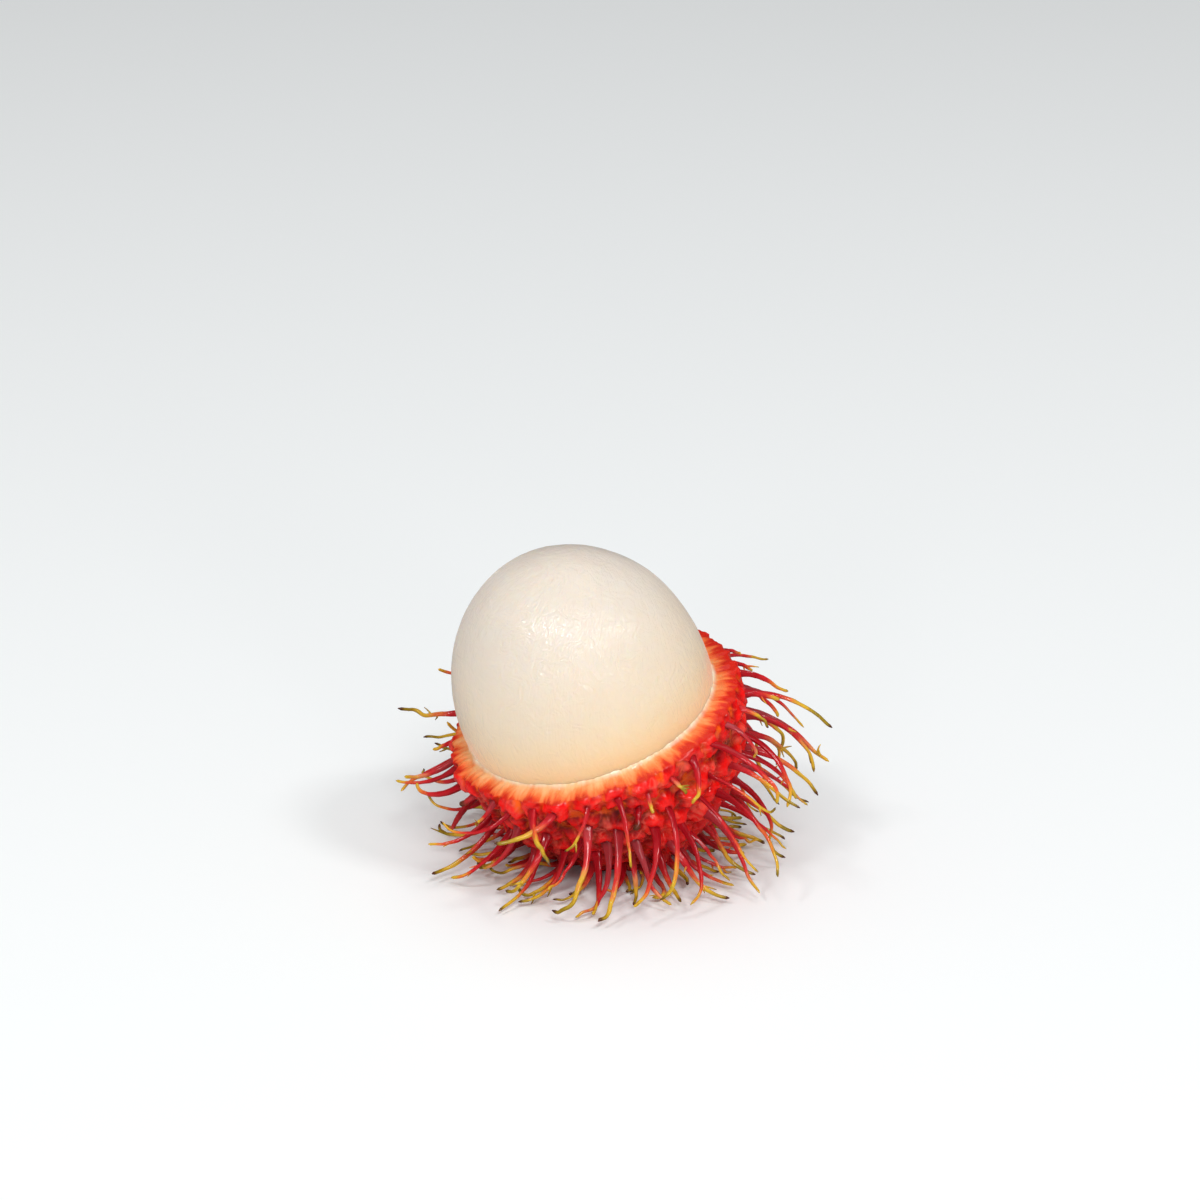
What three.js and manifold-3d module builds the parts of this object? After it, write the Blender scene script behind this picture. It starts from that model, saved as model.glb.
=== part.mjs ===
// A rambutan with the upper part of its peel taken off, resting on a surface.
//
// The fruit is two pieces. The peel is a cup, 2 mm thick at its cut rim and 4 mm at its foot, that bears
// soft curved spines, and it grew as one piece with them. The flesh is the egg-shaped white body that
// sits in the cup and stands well clear of it. The fruit leans, as its round foot rests a little to one side,
// and its outer spines curl over the surface around it.
//
// Millimetres, +Z up. The origin is the middle of the small flat spot on which the peel rests.

import * as THREE from "three";
import { mergeVertices } from "three/addons/utils/BufferGeometryUtils.js";
import Module from "manifold-3d";

const wasm = await Module();
wasm.setup();

// Flesh: an ellipsoid of revolution.
const FLESH_RADIUS = 16.2;
const FLESH_HALF_LENGTH = 19.3;
const FLESH_GAP = 0.4; // between the flesh and the peel, all round
const FLESH_SHIFT = new THREE.Vector3(-0.4, 0, 0); // from the peel's centre to the flesh's

// Peel: the skin between the spines is an ellipsoid of revolution.
const PEEL_RADIUS = 18.5;
const PEEL_HALF_LENGTH = 24.0;
const RIM_DROP = 3.0; // from the centre down the peel's axis to the cut's inner edge
const RIM_BEVEL = 0.5; // the cut's outer edge is this much lower than its inner edge
const RESTING_DEPTH = 0.65; // how far the skin is flattened where it rests

// The way that each piece's long axis points, from foot to tip.
const PEEL_AXIS = new THREE.Vector3(-0.273, -0.199, 0.941).normalize();
const FLESH_AXIS = new THREE.Vector3(-0.344, -0.21, 0.915).normalize();

// Spines: a row just under the cut, and the rest on a spiral from there to the foot.
const RIM_SPINES = 32; // in the row
const RIM_SHORTEST = 0.25; // least share of its length that a spine in the row has
const RIM_MARGIN = 1.3; // the row stands this far below the cut
const ROW_GAP = 2.6; // from the row down to the spiral
const SPINE_COUNT = 160; // on the spiral, those under the foot included
const GOLDEN_ANGLE = Math.PI * (3 - Math.sqrt(5));
const SPINE_LENGTH = [11.5, 16.0]; // shortest and longest
const STOUTNESS = [0.8, 1.3]; // thickness of a spine, as a share of the usual
const SPINE_FOOT_LENGTH = 0.5; // at the height of the floor a spine has this share of its length
const FOOT_HEIGHT = 13; // and from this height up it has all of it
const BROKEN_SPINES = 0.03; // share of the spines that are broken off
const BROKEN_LENGTH = 0.3; // share of its length that a broken spine keeps
const SPINE_ROOT = 0.7; // how far a spine's root is sunk in the skin
const SPINE_SCATTER = 1.1; // how far a spine stands off its even place
const LEAST_RING = 0.1; // so that scatter stays small near the foot
const SPINE_SIDES = 4;
const SPINE_RINGS = [0, 0.3, 0.6, 0.82, 1]; // shares of the length that have a ring of corners

// Radius of a usual spine: a flare at the root, and a taper from the root to a fine tip.
const FLARE_RADIUS = 0.2;
const FLARE_LENGTH = 0.08; // share of the spine's length
const TAPER_RADIUS = 0.26;
const TAPER_POWER = 1.4;
const TIP_RADIUS = 0.17;

// How a spine curves. All of them sweep round the fruit and down its side.
const PATH_STEPS = 50;
const LEAN = 0.3; // how far a spine starts off square to the skin
const COMB = 0.05; // how far it starts towards the foot
const BACKSWEEP = 0.3; // and how far against the sweep
const SWEEP_ROUND = 0.8;
const SWEEP_DOWN = 0.45;
const BEND = [1.0, 2.3]; // radians that a spine turns over its length
const HOOK = [0.2, 2.6]; // radians more that its tip turns
const HOOK_START = 0.8; // share of the length
const HOOK_STRAY = 2.5; // how far the tip's turn strays from the sweep
const FLOOR_GAP = 0.08; // least height of a spine's underside
const LANDING_HEIGHT = 3.5; // a spine levels out over this height
const LANDING_SPREAD = 0.5; // how far it turns outward as it levels out

// Circle segments of the smooth bodies.
const PEEL_SEGMENTS = 36;
const PROFILE_SEGMENTS = 11;
const FLESH_SEGMENTS = 36;

const UP = new THREE.Vector3(0, 1, 0);

// Half of an ellipsoid's thickness along a direction, with its axis along `axis`.
function reach(axis, radius, halfLength, direction) {
  const along = axis.dot(direction);
  return Math.hypot(halfLength * along, radius * Math.sqrt(1 - along * along));
}

// Where an ellipsoid's surface faces straight down, from its centre.
function lowestPoint(axis, radius, halfLength) {
  const down = new THREE.Vector3(0, 0, -1);
  const stretch = (halfLength ** 2 - radius ** 2) * axis.dot(down);
  const point = down.clone().multiplyScalar(radius ** 2).addScaledVector(axis, stretch);
  return point.divideScalar(reach(axis, radius, halfLength, down));
}

// The peel's centre stands over the flat spot as an ellipsoid's centre stands over a level section.
const foot = lowestPoint(PEEL_AXIS, PEEL_RADIUS, PEEL_HALF_LENGTH);
const PEEL_CENTRE = foot.clone().multiplyScalar(-(1 + RESTING_DEPTH / foot.z));
const FLESH_CENTRE = PEEL_CENTRE.clone().add(FLESH_SHIFT);

// Park and Miller's generator, so that the fruit comes out the same each time.
let seed = 20;
function random() {
  seed = (seed * 16807) % 2147483647;
  return seed / 2147483647;
}
function between([low, high]) {
  return low + (high - low) * random();
}
function randomWay() {
  return new THREE.Vector3(random() - 0.5, random() - 0.5, random() - 0.5);
}

// A closed geometry as a manifold-3d solid.
function toSolid(geometry) {
  const bare = new THREE.BufferGeometry();
  bare.setAttribute("position", geometry.getAttribute("position"));
  bare.setIndex(geometry.index);
  const merged = mergeVertices(bare, 1e-4);
  const corners = merged.index.array;
  const kept = [];
  for (let i = 0; i < corners.length; i += 3) {
    const [a, b, c] = corners.slice(i, i + 3);
    if (a !== b && b !== c && c !== a) kept.push(a, b, c);
  }
  return new wasm.Manifold(
    new wasm.Mesh({
      numProp: 3,
      vertProperties: merged.attributes.position.array,
      triVerts: new Uint32Array(kept),
    }),
  );
}

function toGeometry(solid) {
  const mesh = solid.getMesh();
  const geometry = new THREE.BufferGeometry();
  geometry.setAttribute("position", new THREE.BufferAttribute(mesh.vertProperties, 3));
  geometry.setIndex(new THREE.BufferAttribute(mesh.triVerts, 1));
  geometry.computeVertexNormals();
  return geometry;
}

// Turns a shape made about the Y axis so that it lies along `axis`, and moves it to `centre`.
function place(geometry, axis, centre) {
  geometry.applyQuaternion(new THREE.Quaternion().setFromUnitVectors(UP, axis));
  return geometry.translate(centre.x, centre.y, centre.z);
}

function ellipsoid(radius, halfLength) {
  const ball = new THREE.SphereGeometry(1, FLESH_SEGMENTS, FLESH_SEGMENTS / 2);
  return ball.scale(radius, halfLength, radius);
}

// The cup before it is hollowed: the skin from its foot to the cut, closed by the cut.
function cupBlank() {
  const cutHeight = -(RIM_DROP + RIM_BEVEL);
  const cutAngle = Math.acos(-cutHeight / PEEL_HALF_LENGTH);
  const profile = [];
  for (let i = 0; i <= PROFILE_SEGMENTS; i++) {
    const angle = (cutAngle * i) / PROFILE_SEGMENTS;
    const x = PEEL_RADIUS * Math.sin(angle);
    profile.push(new THREE.Vector2(x, -PEEL_HALF_LENGTH * Math.cos(angle)));
  }
  profile.push(new THREE.Vector2(FLESH_RADIUS + FLESH_GAP, -RIM_DROP));
  profile.push(new THREE.Vector2(0, -RIM_DROP));
  return new THREE.LatheGeometry(profile, PEEL_SEGMENTS);
}

function spineRadius(share) {
  const flare = FLARE_RADIUS * Math.exp(-share / FLARE_LENGTH);
  return share >= 1 ? 0 : flare + TIP_RADIUS + TAPER_RADIUS * (1 - share) ** TAPER_POWER;
}

// Turns a heading by some radians towards a direction.
function turn(heading, towards, angle) {
  const sideways = towards.clone().addScaledVector(heading, -towards.dot(heading));
  return heading.clone().addScaledVector(sideways, angle);
}

// The line that a spine grows along. It turns towards `sweep`, its tip towards `curl`, and it levels out
// over the floor.
function spinePath(base, start, length, stout, sweep, bend, curl, hook) {
  const point = base.clone();
  let heading = start.clone();
  const outward = new THREE.Vector3(base.x, base.y, 0).normalize();
  const path = [point.clone()];
  for (let i = 1; i <= PATH_STEPS; i++) {
    const share = i / PATH_STEPS;
    const hooked = share > HOOK_START ? hook / (1 - HOOK_START) : 0;
    const curled = turn(heading, curl, hooked / PATH_STEPS).sub(heading);
    heading = turn(heading, sweep, bend / PATH_STEPS).add(curled).normalize();
    const clear = point.z - FLOOR_GAP - stout * spineRadius(share);
    const steepest = -Math.min(1, Math.max(0, clear / LANDING_HEIGHT));
    if (heading.z < steepest) {
      heading.addScaledVector(outward, (steepest - heading.z) * LANDING_SPREAD);
      heading.z = steepest;
      heading.normalize();
    }
    point.addScaledVector(heading, length / PATH_STEPS);
    path.push(point.clone());
  }
  return path;
}

// A spine as a tapered body bent along its path.
function spineBody({ path, stout }) {
  const profile = SPINE_RINGS.map((share) => new THREE.Vector2(stout * spineRadius(share), share));
  profile.unshift(new THREE.Vector2(0, 0));
  const body = new THREE.LatheGeometry(profile, SPINE_SIDES);
  const across = new THREE.Vector3(1, 0, 0);
  const frames = path.map((point, i) => {
    const ahead = path[Math.min(i + 1, PATH_STEPS)].clone().sub(path[Math.max(i - 1, 0)]);
    const heading = ahead.normalize();
    across.addScaledVector(heading, -across.dot(heading)).normalize();
    return { point, across: across.clone(), over: heading.clone().cross(across) };
  });
  const corners = body.getAttribute("position");
  const corner = new THREE.Vector3();
  for (let i = 0; i < corners.count; i++) {
    corner.fromBufferAttribute(corners, i);
    const frame = frames[Math.round(corner.y * PATH_STEPS)];
    const bent = frame.point.clone().addScaledVector(frame.across, corner.x);
    bent.addScaledVector(frame.over, -corner.z);
    corners.setXYZ(i, bent.x, bent.y, bent.z);
  }
  return body;
}

// Where the spines stand: the level along the peel's axis, the angle round it, and the least share of its
// length that the spine there has.
function spineSpots() {
  const row = (RIM_DROP + RIM_BEVEL + RIM_MARGIN) / PEEL_HALF_LENGTH;
  const rest = 1 - row - ROW_GAP / PEEL_HALF_LENGTH;
  const spots = [];
  for (let i = 0; i < RIM_SPINES; i++) {
    spots.push({ evenLevel: -row, evenAngle: (2 * Math.PI * i) / RIM_SPINES, shortest: RIM_SHORTEST });
  }
  for (let i = 0; i < SPINE_COUNT; i++) {
    const evenLevel = -1 + ((i + 0.5) / SPINE_COUNT) * rest;
    spots.push({ evenLevel, evenAngle: i * GOLDEN_ANGLE, shortest: 1 });
  }
  return spots;
}

// The spines, each a little scattered from its spot.
function spines() {
  const tilt = new THREE.Quaternion().setFromUnitVectors(UP, PEEL_AXIS);
  const size = new THREE.Vector3(PEEL_RADIUS, PEEL_HALF_LENGTH, PEEL_RADIUS);
  const grown = [];
  for (const { evenLevel, evenAngle, shortest } of spineSpots()) {
    const scatter = [(random() - 0.5) * SPINE_SCATTER, (random() - 0.5) * SPINE_SCATTER];
    const length = between(SPINE_LENGTH) * between([shortest, 1]);
    const stout = between(STOUTNESS);
    const bend = between(BEND);
    const hook = between(HOOK);
    const stray = randomWay();
    const lean = randomWay();
    const broken = random() < BROKEN_SPINES;

    const level = evenLevel + scatter[0] / PEEL_HALF_LENGTH;
    const ring = Math.sqrt(Math.max(0, 1 - level * level));
    const angle = evenAngle + scatter[1] / (PEEL_RADIUS * Math.max(ring, LEAST_RING));
    const unit = new THREE.Vector3(ring * Math.cos(angle), level, -ring * Math.sin(angle));
    const normal = unit.clone().divide(size).applyQuaternion(tilt).normalize();
    const root = unit.multiply(size).applyQuaternion(tilt).add(PEEL_CENTRE);
    root.addScaledVector(normal, -SPINE_ROOT);
    if (root.z < SPINE_ROOT + stout * spineRadius(0)) continue;

    const wayRound = new THREE.Vector3(0, 1, 0).cross(normal);
    const sweep = wayRound.clone().multiplyScalar(SWEEP_ROUND).addScaledVector(PEEL_AXIS, -SWEEP_DOWN);
    sweep.add(stray).normalize();
    const curl = sweep.clone().addScaledVector(stray, HOOK_STRAY).normalize();
    const start = normal.clone().addScaledVector(lean, LEAN).addScaledVector(PEEL_AXIS, -COMB);
    start.addScaledVector(wayRound, -BACKSWEEP);
    const upper = Math.min(1, root.z / FOOT_HEIGHT);
    const kept = (SPINE_FOOT_LENGTH + (1 - SPINE_FOOT_LENGTH) * upper) * (broken ? BROKEN_LENGTH : 1);
    const path = spinePath(root, start.normalize(), length * kept, stout, sweep, bend, curl, hook);
    grown.push({ path, stout });
  }
  return grown;
}

function makePeel() {
  const cup = toSolid(place(cupBlank(), PEEL_AXIS, PEEL_CENTRE));
  const bodies = spines().map((spine) => toSolid(spineBody(spine)));
  const hollow = ellipsoid(FLESH_RADIUS + FLESH_GAP, FLESH_HALF_LENGTH + FLESH_GAP);
  const cavity = toSolid(place(hollow, FLESH_AXIS, FLESH_CENTRE));
  const width = 4 * PEEL_HALF_LENGTH;
  const floor = toSolid(new THREE.BoxGeometry(width, width, width).translate(0, 0, -width / 2));
  const solid = wasm.Manifold.union([cup, ...bodies]).subtract(cavity).subtract(floor);
  const material = new THREE.MeshStandardMaterial({ color: 0xc3202b, roughness: 0.4, metalness: 0 });
  const mesh = new THREE.Mesh(toGeometry(solid), material);
  mesh.name = "peel";
  return mesh;
}

function makeFlesh() {
  const material = new THREE.MeshStandardMaterial({ color: 0xf1e4d2, roughness: 0.35, metalness: 0 });
  const mesh = new THREE.Mesh(ellipsoid(FLESH_RADIUS, FLESH_HALF_LENGTH), material);
  mesh.quaternion.setFromUnitVectors(UP, FLESH_AXIS);
  mesh.position.copy(FLESH_CENTRE);
  mesh.name = "flesh";
  return mesh;
}

const rambutan = new THREE.Group();
rambutan.add(makePeel(), makeFlesh());

export default rambutan;
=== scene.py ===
import math

import bpy
import numpy as np
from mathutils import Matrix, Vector, noise


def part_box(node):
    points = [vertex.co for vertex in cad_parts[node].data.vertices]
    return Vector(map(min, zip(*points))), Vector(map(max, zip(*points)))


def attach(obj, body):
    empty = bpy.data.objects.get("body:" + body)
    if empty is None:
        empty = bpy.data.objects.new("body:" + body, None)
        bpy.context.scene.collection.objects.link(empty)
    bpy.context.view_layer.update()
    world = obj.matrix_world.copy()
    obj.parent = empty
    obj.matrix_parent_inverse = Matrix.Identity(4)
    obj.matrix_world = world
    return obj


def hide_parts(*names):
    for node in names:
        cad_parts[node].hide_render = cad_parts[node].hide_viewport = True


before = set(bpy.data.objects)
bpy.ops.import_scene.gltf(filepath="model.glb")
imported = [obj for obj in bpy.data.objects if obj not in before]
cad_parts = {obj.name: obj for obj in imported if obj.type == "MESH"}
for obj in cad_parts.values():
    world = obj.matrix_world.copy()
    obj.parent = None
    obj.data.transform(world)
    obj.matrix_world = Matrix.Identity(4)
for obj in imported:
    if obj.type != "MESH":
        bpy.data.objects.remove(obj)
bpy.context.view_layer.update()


# ---- Flesh -------------------------------------------------------------------------------------------
# The egg-shaped white flesh, a firm wet jelly. Its surface is smooth, with very fine fibres that run from
# foot to tip and a skin of juice. It sits in the cup of the rind, where its foot is painted warmer with
# painted light bounced from the peel.

MM = 0.001  # a millimetre in metres
FLESH_RADIUS = 16.2
FLESH_HALF_LENGTH = 19.3
FLESH_RINGS = 200
FLESH_COLUMNS = 400
SWELL = 0.10  # broad unevenness
SWELL_SIZE = 9.0
FIBRE = 0.022  # fine relief along the fibres
FIBRE_SIZE = 0.75
FIBRE_LENGTH = 4.0  # times its width
FIBRE_FADE = 0.3  # the fibres fade out towards foot and tip
STRANDS_CLOSER = 2  # the strands in the gloss are this much closer than their pattern's size
# The flesh is painted warmer between these heights above its middle, along the peel's axis, by these
# shares:
# painted light bounced from the peel.
BOUNCE_GLOW_SHOULDER = (16.0, 2.0)
BOUNCE_GLOW_SHOULDER_SHARE = 0.3
BOUNCE_GLOW_FOOT = (6.0, -4.0)
BOUNCE_GLOW_FOOT_SHARE = 0.55


def unit(vector):
    return np.array(vector, float) / np.linalg.norm(vector)


def along(axis):
    """The turn that lays a shape made about the Y axis along another axis."""
    return np.array(Vector((0, 1, 0)).rotation_difference(Vector(axis)).to_matrix())


def smooth(value, low, high):
    """0 below low, 1 above high, and a soft step between them."""
    share = np.clip((np.asarray(value, float) - low) / (high - low), 0, 1)
    return share * share * (3 - 2 * share)


def relief(points, size, seed=0.0, octaves=2):
    """Soft noise at each point, from about -1 to 1, with bumps of about this size."""
    shift = Vector((seed * 7.31, seed * 3.17, seed * 5.73))
    flat = np.asarray(points, float).reshape(-1, 3) / size
    values = [noise.fractal(Vector(p) + shift, 1.0, 2.0, octaves) for p in flat]
    return np.array(values).reshape(np.shape(points)[:-1])


def closed_body(foot, rings, tip):
    """The points and faces of a closed body: rings of points, with a point at either end."""
    count, columns = rings.shape[:2]
    points = np.vstack([[foot], rings.reshape(-1, 3), [tip]])
    corner = 1 + np.arange(count * columns).reshape(count, columns)
    beside = np.roll(corner, -1, axis=1)
    sides = np.stack([corner[:-1], beside[:-1], beside[1:], corner[1:]], axis=-1).reshape(-1, 4)
    start = [(0, b, a) for a, b in zip(corner[0], beside[0])]
    end = [(len(points) - 1, a, b) for a, b in zip(corner[-1], beside[-1])]
    return points, [*start, *map(tuple, sides), *end]


def with_ends(values, ends=None):
    """Ring values as one list, with a value for each end point."""
    first, last = ends or (values[0].mean(), values[-1].mean())
    return np.concatenate([[first], values.ravel(), [last]])


def make_piece(name, points, faces, marks):
    """A smooth mesh in metres. Each mark is a value for every point, which the material reads."""
    mesh = bpy.data.meshes.new(name)
    mesh.from_pydata((np.asarray(points) * MM).tolist(), [], [[int(c) for c in face] for face in faces])
    mesh.shade_smooth()
    for mark, values in marks.items():
        layer = mesh.attributes.new(mark, "FLOAT", "POINT")
        layer.data.foreach_set("value", np.asarray(values, np.float32))
    piece = bpy.data.objects.new(name, mesh)
    bpy.context.scene.collection.objects.link(piece)
    return piece


def add(tree, kind, inputs=None, **settings):
    """A new node. Each input is a plain value or the output that feeds it."""
    node = tree.nodes.new("ShaderNode" + kind)
    for name, value in settings.items():
        setattr(node, name, value)
    for name, value in (inputs or {}).items():
        if isinstance(value, bpy.types.NodeSocket):
            tree.links.new(value, node.inputs[name])
        else:
            node.inputs[name].default_value = value
    return node


def mark(tree, name):
    """What a mark of the mesh gives at each place."""
    return add(tree, "Attribute", attribute_name=name).outputs["Fac"]


def calc(tree, operation, *values, clamp=False):
    """A sum worked out on plain values or outputs."""
    node = add(tree, "Math", operation=operation, use_clamp=clamp)
    for socket, value in zip(node.inputs, values):
        if isinstance(value, bpy.types.NodeSocket):
            tree.links.new(value, socket)
        else:
            socket.default_value = value
    return node.outputs[0]


def step(tree, value, low, high, start=0.0, end=1.0):
    """A soft step from start to end as the value goes from low to high."""
    span = {"Value": value, "From Min": low, "From Max": high, "To Min": start, "To Max": end}
    return add(tree, "MapRange", span, interpolation_type="SMOOTHSTEP").outputs["Result"]


def blend(tree, share, first, second):
    """A colour between two colours."""
    node = add(tree, "Mix", data_type="RGBA")
    for index, value in ((0, share), (6, first), (7, second)):
        if isinstance(value, bpy.types.NodeSocket):
            tree.links.new(value, node.inputs[index])
        else:
            node.inputs[index].default_value = value if index == 0 else (*value, 1)
    return node.outputs[2]


def group(name, takes, gives):
    """A node group with named inputs and outputs, and its two end nodes."""
    tree = bpy.data.node_groups.new(name, "ShaderNodeTree")
    for socket, (kind, value) in takes.items():
        made = tree.interface.new_socket(socket, in_out="INPUT", socket_type="NodeSocket" + kind)
        if value is not None:
            made.default_value = value
    for socket in gives:
        tree.interface.new_socket(socket, in_out="OUTPUT", socket_type="NodeSocketFloat")
    return tree, tree.nodes.new("NodeGroupInput").outputs, tree.nodes.new("NodeGroupOutput").inputs


def use(tree, effect, inputs):
    """A node group placed in a material with its own values."""
    node = tree.nodes.new("ShaderNodeGroup")
    node.node_tree = effect
    for name, value in inputs.items():
        if isinstance(value, bpy.types.NodeSocket):
            tree.links.new(value, node.inputs[name])
        else:
            node.inputs[name].default_value = value
    return node.outputs


def make_wrinkles():
    """Thin crests that wander over a surface. Size is their spacing and Place is in millimetres."""
    takes = {"Place": ("Vector", None), "Size": ("Float", 1.0), "Wander": ("Float", 0.5)}
    tree, given, made = group("wrinkles", takes, ["Height", "Crest"])
    scale = calc(tree, "DIVIDE", 1.0, given["Size"])
    wave = add(
        tree,
        "TexNoise",
        {"Vector": given["Place"], "Scale": scale, "Detail": 2.0, "Distortion": given["Wander"]},
    )
    middle, steepness, sharpness = 0.5, 4.0, 5.0
    off_middle = calc(tree, "ABSOLUTE", calc(tree, "SUBTRACT", wave.outputs["Fac"], middle))
    height = calc(tree, "SUBTRACT", 1.0, calc(tree, "MULTIPLY", off_middle, steepness), clamp=True)
    tree.links.new(height, made["Height"])
    tree.links.new(calc(tree, "POWER", height, sharpness), made["Crest"])
    return tree


def make_mottle():
    """Soft patches, from 0 to 1. Size is the width of a patch and Place is in millimetres."""
    takes = {"Place": ("Vector", None), "Size": ("Float", 1.0)}
    takes |= {"Low": ("Float", 0.4), "High": ("Float", 0.6)}
    tree, given, made = group("mottle", takes, ["Patch"])
    scale = calc(tree, "DIVIDE", 1.0, given["Size"])
    cloud = add(tree, "TexNoise", {"Vector": given["Place"], "Scale": scale, "Detail": 3.0})
    patch = step(tree, cloud.outputs["Fac"], given["Low"], given["High"])
    tree.links.new(patch, made["Patch"])
    return tree


wrinkles = make_wrinkles()
mottle = make_mottle()


def start_material(name):
    """A new material, its tree and its Principled shader."""
    material = bpy.data.materials.new(name)
    material.use_nodes = True
    return material, material.node_tree, material.node_tree.nodes["Principled BSDF"]


def place_on_fruit(tree):
    """The place on the fruit that a material's patterns follow, in millimetres."""
    spot = add(tree, "TexCoord").outputs["Object"]
    return add(tree, "VectorMath", {0: spot, "Scale": 1 / MM}, operation="SCALE").outputs[0]


def wet_flesh():
    """White flesh with a faint blush, painted warmer at its foot as light bounced from the peel. Fine
    crinkles break up the gloss of its juice.
    """
    cream = (0.755, 0.685, 0.60)
    painted_bounce_orange = (0.95, 0.68, 0.34)
    blush = (0.73, 0.61, 0.51)
    blush_share = 0.25
    fine_share = 0.3
    strand_share = 0.6
    material, tree, shader = start_material("wet_flesh")
    place = place_on_fruit(tree)
    crinkle = use(tree, wrinkles, {"Place": place, "Size": 2.4, "Wander": 2.0})
    fine = use(tree, wrinkles, {"Place": place, "Size": 1.1, "Wander": 1.0})
    strand = add(tree, "CombineXYZ", {"X": mark(tree, "round"), "Y": mark(tree, "along")}).outputs[0]
    strands = use(tree, wrinkles, {"Place": strand, "Size": 0.9, "Wander": 0.3})
    cloud = use(tree, mottle, {"Place": place, "Size": 6.0, "Low": 0.35, "High": 0.75})
    colour = blend(tree, calc(tree, "MULTIPLY", cloud["Patch"], blush_share), cream, blush)
    # Painted light: an orange glow on the flesh's foot, sunk in the cup, stands in for light bounced from
    # the peel.
    colour = blend(tree, mark(tree, "sunk"), colour, painted_bounce_orange)
    tree.links.new(colour, shader.inputs["Base Color"])
    height = calc(tree, "ADD", crinkle["Height"], calc(tree, "MULTIPLY", fine["Height"], fine_share))
    height = calc(tree, "ADD", height, calc(tree, "MULTIPLY", strands["Height"], strand_share))
    bump = add(tree, "Bump", {"Height": height, "Strength": 0.9, "Distance": 0.06 * MM})
    tree.links.new(bump.outputs["Normal"], shader.inputs["Normal"])
    least_rough, most_rough = 0.10, 0.14
    rough = step(tree, cloud["Patch"], 0.0, 1.0, least_rough, most_rough)
    tree.links.new(rough, shader.inputs["Roughness"])
    shader.inputs["Specular IOR Level"].default_value = 0.4
    shader.inputs["Sheen Weight"].default_value = 0.6
    shader.inputs["Sheen Roughness"].default_value = 0.4
    shader.inputs["Sheen Tint"].default_value = (1.0, 0.87, 0.79, 1.0)
    shader.inputs["Subsurface Weight"].default_value = 0.85
    shader.inputs["Subsurface Radius"].default_value = (1.0, 0.72, 0.45)
    shader.inputs["Subsurface Scale"].default_value = 2.2 * MM
    return material


FLESH_AXIS = unit((-0.344, -0.21, 0.915))
PEEL_AXIS = unit((-0.273, -0.199, 0.941))
flesh_low, flesh_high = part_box("flesh")
FLESH_CENTRE = np.array((flesh_low + flesh_high) / 2) / MM


def make_flesh():
    """The egg of the flesh, a little uneven, with its fibres."""
    turn = along(FLESH_AXIS)
    slope = np.linspace(0, math.pi, FLESH_RINGS + 2)[1:-1, None]
    round_it = np.linspace(0, 2 * math.pi, FLESH_COLUMNS, endpoint=False)[None, :]
    ball = np.stack(
        [
            np.sin(slope) * np.cos(round_it),
            -np.cos(slope) * np.ones_like(round_it),
            -np.sin(slope) * np.sin(round_it),
        ],
        axis=-1,
    )
    size = np.array([FLESH_RADIUS, FLESH_HALF_LENGTH, FLESH_RADIUS])
    swell = SWELL * relief(ball * size, SWELL_SIZE, seed=1)
    drawn_out = ball * size * [1, 1 / FIBRE_LENGTH, 1]
    fibre = FIBRE * relief(drawn_out, FIBRE_SIZE, seed=2) * smooth(np.sin(slope), 0.0, FIBRE_FADE)
    rings = ball * (size + (swell + fibre)[..., None] - SWELL) @ turn.T + FLESH_CENTRE
    foot, tip = (FLESH_CENTRE + side * FLESH_AXIS * (FLESH_HALF_LENGTH - SWELL) for side in (-1, 1))
    height = (rings - FLESH_CENTRE) @ PEEL_AXIS
    # Where the painted bounce light from the peel falls: more the lower the flesh sits in the cup.
    shoulder_glow = BOUNCE_GLOW_SHOULDER_SHARE * smooth(height, *BOUNCE_GLOW_SHOULDER)
    marks = {
        "sunk": shoulder_glow + BOUNCE_GLOW_FOOT_SHARE * smooth(height, *BOUNCE_GLOW_FOOT),
        "round": FLESH_RADIUS * STRANDS_CLOSER * np.abs(round_it - math.pi) * np.sin(slope),
        "along": FLESH_HALF_LENGTH * slope / FIBRE_LENGTH + 0 * round_it,
    }
    points, faces = closed_body(foot, rings, tip)
    return make_piece("flesh", points, faces, {name: with_ends(values) for name, values in marks.items()})


flesh = make_flesh()
flesh.data.materials.append(wet_flesh())
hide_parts("flesh")
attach(flesh, "root")


# ---- Rind --------------------------------------------------------------------------------------------
# The cup of red skin that is left of the peel, 2 to 4 mm thick, with a lump where each spine grows out.
# It was torn round, so the cut shows the orange pith with its fibres, and a thin cream film that clings to
# the flesh.

PEEL_RADIUS = 18.5
PEEL_HALF_LENGTH = 24.0
FLESH_GAP = 0.4
FLESH_SHIFT = np.array([-0.4, 0, 0])  # the flesh stands this far off the peel's middle
PEEL_CENTRE = FLESH_CENTRE - FLESH_SHIFT
PEEL_SIZE = np.array([PEEL_RADIUS, PEEL_HALF_LENGTH, PEEL_RADIUS])
RIM_DROP = 3.0  # the cut is this far below the peel's middle
RIM_BEVEL = 0.5

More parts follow.
